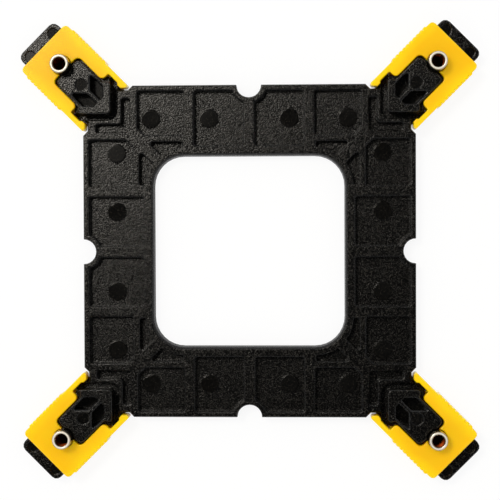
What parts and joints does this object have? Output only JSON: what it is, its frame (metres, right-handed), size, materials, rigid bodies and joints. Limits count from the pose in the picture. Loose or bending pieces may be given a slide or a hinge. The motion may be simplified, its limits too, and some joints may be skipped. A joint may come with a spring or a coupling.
{
  "type": "cpu cooler mounting bracket",
  "caption": "Flat moulded backplate for a CPU cooler, pocketed round a square window, with sliding corner clips that carry threaded inserts.",
  "frame": {"origin": "middle of the plate, on the plane of its plain back", "axes": "+Z out of the pocketed board side; +X and +Y along the plate's sides; the arms lie on the diagonals"},
  "size_m": [0.092, 0.092, 0.0078],
  "materials": {
    "black_nylon": "black glass-filled nylon, fine spark-eroded texture",
    "yellow_acetal": "yellow acetal, satin",
    "nickel": "bright nickel plate on turned brass"
  },
  "bodies": {
    "plate": {"backplate": "black_nylon"},
    "slider_back_right": {"clip_back_right": "yellow_acetal", "insert_back_right": "nickel"},
    "slider_back_left": {"clip_back_left": "yellow_acetal", "insert_back_left": "nickel"},
    "slider_front_left": {"clip_front_left": "yellow_acetal", "insert_front_left": "nickel"},
    "slider_front_right": {"clip_front_right": "yellow_acetal", "insert_front_right": "nickel"}
  },
  "joints": [
    {"name": "slide_back_right", "type": "slide", "parent": "plate", "child": "slider_back_right", "axis": [0.7071, 0.7071, 0], "range_m": [0, 0.00353]},
    {"name": "slide_back_left", "type": "slide", "parent": "plate", "child": "slider_back_left", "axis": [-0.7071, 0.7071, 0], "range_m": [0, 0.00353]},
    {"name": "slide_front_left", "type": "slide", "parent": "plate", "child": "slider_front_left", "axis": [-0.7071, -0.7071, 0], "range_m": [0, 0.00353]},
    {"name": "slide_front_right", "type": "slide", "parent": "plate", "child": "slider_front_right", "axis": [0.7071, -0.7071, 0], "range_m": [0, 0.00353]}
  ]
}
